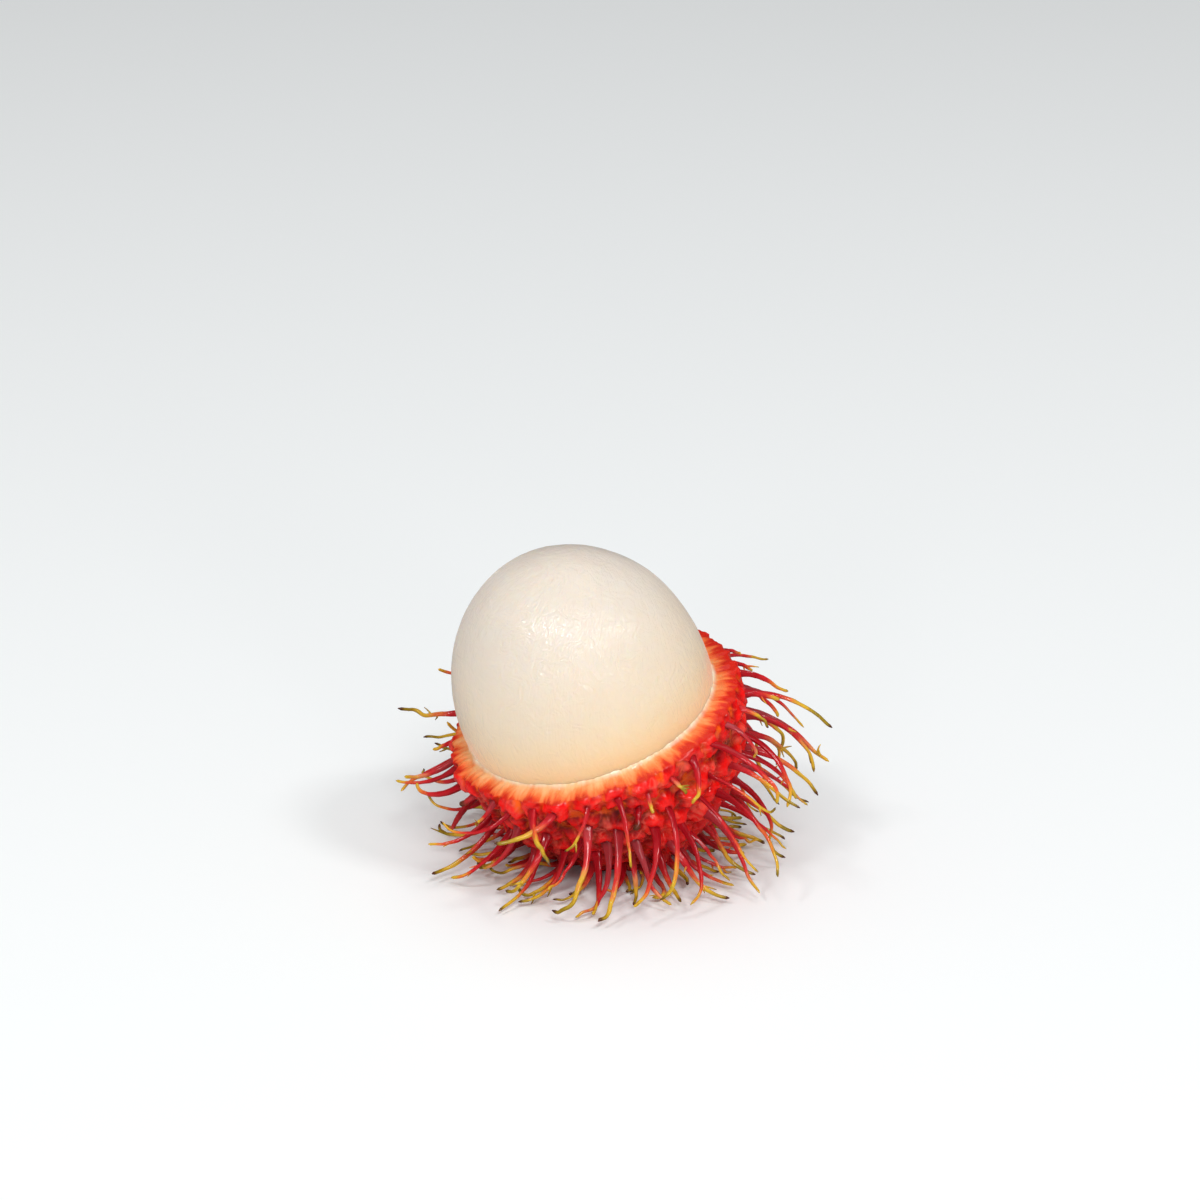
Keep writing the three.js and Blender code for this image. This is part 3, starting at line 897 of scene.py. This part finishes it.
def spine_shape(line):
    """The middle line of one spine, the rings round it, and how far out each ring is."""
    share = np.linspace(0, 1, SPINE_RINGS)
    even = np.linspace(0, 1, PATH_STEPS + 1)
    path = np.stack([np.interp(share, even, line["path"][:, k]) for k in range(3)], axis=1)
    kink = KINK * (KINKED if random() < KINKED_SPINES else UNKINKED)
    start = STRAY_STARTS * random()
    wander = [wobble(share, KINKS_ALONG, start + SIDE_START * k) for k in range(3)]
    path += kink * np.stack(wander, axis=1) * smooth(share, *KINK_START)[:, None]
    radii = line["stout"] * np.array([spine_radius(s) for s in share])
    radii *= 1 + UNEVEN_RADIUS * wobble(share, UNEVEN_ALONG, start + RADIUS_START)
    if line["broken"]:
        radii = np.maximum(radii, STUMP_RADIUS)
    radii *= np.sqrt(np.clip((1 - share) / (1 - END_SHARE), ROUNDED_END, 1))
    radii += line["stout"] * ROOT_SWELL * np.exp(-share / ROOT_SWELL_SHARE)
    radii *= spread(smooth(share, 0, SUNK_SHARE), (SUNK_RADIUS, 1))
    path[:, 2] = np.maximum(path[:, 2], radii + LYING_GAP)
    path[0] -= SUNK_MORE * unit(path[1] - path[0])
    wide = (TIP_WIDE + (between(*WIDE) - TIP_WIDE) * (1 - share) ** 2)[:, None]
    rings = tube(path, radii, SPINE_SIDES, wide, TWIST, RIDGE, phase=2 * math.pi * random())
    return path, rings, share


def make_barb(path, at):
    """A small barb that grows out of a spine's middle line, and how far along it each point is."""
    ahead = unit(path[at + 1] - path[at])
    way = unit(unit(random_way()) + ahead * BARB_LEAN)
    length = between(*BARB_LENGTH)
    steps = np.linspace(0, 1, BARB_RINGS)[:, None]
    line = path[at] + way * length * steps + ahead * BARB_BEND * length * steps**2
    line[:, 2] = np.maximum(line[:, 2], BARB_RADIUS)
    radii = BARB_RADIUS * (1 - BARB_TAPER * steps[:, 0])
    body = closed_body(line[0], tube(line, radii, BARB_SIDES), line[-1])
    return body, with_ends(np.repeat(steps, BARB_SIDES, axis=1), (0, 1))


def make_spine_mesh():
    """All the spines and their barbs in one mesh. Out goes from 0 at a root to 1 at an end."""
    points, faces, marks = [], [], {"out": [], "tone": [], "bloom": [], "dry": [], "round": []}

    def join(body, values):
        start = sum(len(p) for p in points)
        points.append(body[0])
        faces.extend([tuple(corner + start for corner in face) for face in body[1]])
        for name, value in values.items():
            marks[name].append(np.broadcast_to(value, len(body[0])))

    turn = np.linspace(0, 1, SPINE_SIDES, endpoint=False)
    about = with_ends(np.repeat(np.abs(turn * 2 - 1)[None, :], SPINE_RINGS, axis=0))
    for line in spine_lines:
        path, rings, share = spine_shape(line)
        tone, bloom = random(), random()
        ripe = share * (BROKEN_LENGTH if line["broken"] else 1)
        dry = smooth(share, *DRY_SHARE) * line["broken"]
        out = with_ends(np.repeat(ripe[:, None], SPINE_SIDES, axis=1))
        dry = with_ends(np.repeat(dry[:, None], SPINE_SIDES, axis=1))
        values = {"out": out, "tone": tone, "bloom": bloom, "dry": dry, "round": about}
        join(closed_body(path[0], rings, path[-1]), values)
        if random() > BARBED_SPINES or line["broken"]:
            continue
        for _ in range(1 + int(MORE_BARBS * random())):
            at = int(between(*BARB_PLACE) * SPINE_RINGS)
            body, grown = make_barb(path, at)
            out = share[at] + (END_SHARE - share[at]) * grown
            join(body, {"out": out, "tone": tone, "bloom": bloom, "dry": 0.0, "round": BARB_STREAK})
    points = np.vstack(points)
    return make_piece("spines", points, faces, {name: np.concatenate(v) for name, v in marks.items()})


def soft_spine():
    """A soft spine from its root, painted dark as shade where it leaves the skin, to its dry end. Tone and
    bloom differ from spine to spine.
    """
    crimson = (0.36, 0.002, 0.008)
    rose = (0.58, 0.016, 0.022)
    salmon = (0.75, 0.13, 0.03)
    peach = (0.72, 0.27, 0.14)
    yellow = (0.66, 0.40, 0.03)
    olive = (0.30, 0.20, 0.012)
    brown = (0.09, 0.03, 0.012)
    dusty = (0.40, 0.05, 0.06)
    painted_shade_maroon = (0.08, 0.001, 0.002)
    material, tree, shader = start_material("soft_spine")
    place = place_on_fruit(tree)

    # How far out a colour comes in shifts from spine to spine, in patches and in streaks.
    tone_shift, patch_shift, streak_shift, lane_apart = (-0.22, 0.12), 0.10, 0.08, 50.0
    tone, along_it = mark(tree, "tone"), mark(tree, "out")
    out = calc(tree, "ADD", along_it, step(tree, tone, 0.0, 1.0, *tone_shift))
    patch = use(tree, mottle, {"Place": place, "Size": 1.5, "Low": 0.35, "High": 0.65})["Patch"]
    middle = calc(tree, "SUBTRACT", patch, 0.5)
    out = calc(tree, "ADD", out, calc(tree, "MULTIPLY", middle, patch_shift))
    lane = calc(tree, "MULTIPLY", tone, lane_apart)
    lane = add(tree, "CombineXYZ", {"X": mark(tree, "round"), "Y": along_it, "Z": lane}).outputs[0]
    streak = use(tree, mottle, {"Place": lane, "Size": 0.35, "Low": 0.35, "High": 0.7})["Patch"]
    out = calc(tree, "ADD", out, calc(tree, "MULTIPLY", streak, streak_shift))

    shaded_root_part, bloomed, most_bloom = (0.03, 0.14), (0.5, 1.0), 0.7
    bloom = step(tree, mark(tree, "bloom"), *bloomed, 0.0, most_bloom)
    root = blend(tree, bloom, crimson, dusty)
    # Painted shade: the first part of the root, by the skin, is maroon.
    colour = blend(tree, step(tree, along_it, *shaded_root_part), painted_shade_maroon, root)
    ripening = {
        (0.15, 0.55): rose,
        (0.48, 0.68): blend(tree, bloom, salmon, peach),
        (0.60, 0.78): yellow,
        (0.80, 1.0): olive,
    }
    for reach, tint in ripening.items():
        colour = blend(tree, step(tree, out, *reach), colour, tint)
    end_part, ended_tone = (0.93, 0.98), (0.3, 0.6)
    ended = step(tree, tone, *ended_tone)
    end = calc(tree, "MULTIPLY", step(tree, along_it, *end_part), ended)
    colour = blend(tree, end, colour, brown)
    colour = blend(tree, mark(tree, "dry"), colour, brown)
    tree.links.new(colour, shader.inputs["Base Color"])

    least_rough, most_rough = 0.30, 0.42
    tree.links.new(step(tree, patch, 0.0, 1.0, least_rough, most_rough), shader.inputs["Roughness"])
    fine = use(tree, wrinkles, {"Place": place, "Size": 0.6, "Wander": 0.6})
    bump = add(tree, "Bump", {"Height": fine["Height"], "Strength": 0.5, "Distance": 0.06 * MM})
    tree.links.new(bump.outputs["Normal"], shader.inputs["Normal"])
    shader.inputs["Specular IOR Level"].default_value = 0.1
    shader.inputs["Coat Weight"].default_value = 0.6
    shader.inputs["Coat Roughness"].default_value = 0.07
    shader.inputs["Subsurface Weight"].default_value = 0.2
    shader.inputs["Subsurface Radius"].default_value = (1.0, 0.35, 0.15)
    shader.inputs["Subsurface Scale"].default_value = 0.6 * MM
    return material


spines = make_spine_mesh()
spines.data.materials.append(soft_spine())
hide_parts("peel")
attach(spines, "root")


# ---- Camera, table and light -------------------------------------------------------------------------
# The camera looks a little down on the fruit from some way off. The table is a plain white sheet. A broad
# soft box lights the fruit from the front, with smaller lamps above, beside and low in front of it.

CAMERA_DISTANCE = 520  # from the middle of the flesh
CAMERA_ELEVATION = math.radians(20.8)
CAMERA_LENS = 124.8
AIM_RIGHT = 2.04  # from the flesh's centre to the middle of the view
AIM_UP = 11.1
FRUIT_HEIGHT = 0.02  # where the lights point, in metres
SKY_LIGHT = 0.335
SKY_MIRRORED = 0.07


def make_camera():
    """The camera, level from side to side and square to the X axis."""
    back = Vector((0, -math.cos(CAMERA_ELEVATION), math.sin(CAMERA_ELEVATION)))
    up = Vector((0, math.sin(CAMERA_ELEVATION), math.cos(CAMERA_ELEVATION)))
    place = Vector(FLESH_CENTRE) + back * CAMERA_DISTANCE + Vector((AIM_RIGHT, 0, 0)) + up * AIM_UP
    data = bpy.data.cameras.new("camera")
    data.lens = CAMERA_LENS
    data.sensor_width = 36
    data.clip_start, data.clip_end = 0.05, 20
    camera = bpy.data.objects.new("camera", data)
    camera.location = place * MM
    camera.rotation_euler = (math.pi / 2 - CAMERA_ELEVATION, 0, 0)
    bpy.context.scene.collection.objects.link(camera)
    bpy.context.scene.camera = camera


def make_table():
    """A white sheet, 6 m square. Its mirror image in the wet fruit is dimmed, as dark flags would do."""
    white = (0.925, 0.95, 0.955)
    dimmed = (0.13, 0.13, 0.13)
    width = 6.0
    mesh = bpy.data.meshes.new("table")
    corners = [(x * width / 2, y * width / 2, 0) for x, y in ((-1, -1), (1, -1), (1, 1), (-1, 1))]
    mesh.from_pydata(corners, [], [(0, 1, 2, 3)])
    material, tree, shader = start_material("white_sheet")
    mirrored = add(tree, "LightPath").outputs["Is Glossy Ray"]
    tree.links.new(blend(tree, mirrored, white, dimmed), shader.inputs["Base Color"])
    shader.inputs["Roughness"].default_value = 0.6
    mesh.materials.append(material)
    table = bpy.data.objects.new("table", mesh)
    bpy.context.scene.collection.objects.link(table)
    return table


def make_light(name, place, width, power):
    """A square soft light that faces the fruit, in metres and watts."""
    data = bpy.data.lights.new(name, "AREA")
    data.size = width
    data.energy = power
    light = bpy.data.objects.new(name, data)
    light.location = place
    to_fruit = Vector((0, 0, FRUIT_HEIGHT)) - Vector(place)
    light.rotation_euler = to_fruit.to_track_quat("-Z", "Y").to_euler()
    bpy.context.scene.collection.objects.link(light)


def make_sky():
    """An even white sky. Its mirror image in the wet fruit is dimmed as the table's is."""
    world = bpy.data.worlds.new("sky")
    world.use_nodes = True
    world.node_tree.nodes["Background"].inputs["Color"].default_value = (1, 1, 1, 1)
    tree = world.node_tree
    mirrored = add(tree, "LightPath").outputs["Is Glossy Ray"]
    strength = step(tree, mirrored, 0.0, 1.0, SKY_LIGHT, SKY_MIRRORED)
    tree.links.new(strength, tree.nodes["Background"].inputs["Strength"])
    bpy.context.scene.world = world


make_camera()
make_table()
make_light("soft_box", (0.0, -0.90, 1.05), 1.1, 1.6)
make_light("top_light", (0.0, 0.45, 1.30), 0.9, 2.4)
make_light("front_light", (0.17, -0.87, 0.95), 0.34, 5.1)
make_light("left_light", (-0.60, -0.50, 0.95), 0.19, 3.3)
make_light("right_light", (0.60, -0.40, 0.95), 0.19, 2.8)
make_light("low_left_light", (-0.35, -1.00, 0.36), 0.15, 0.8)
make_light("low_right_light", (0.40, -1.00, 0.30), 0.15, 0.8)
make_sky()
bpy.context.scene.view_settings.view_transform = "Standard"
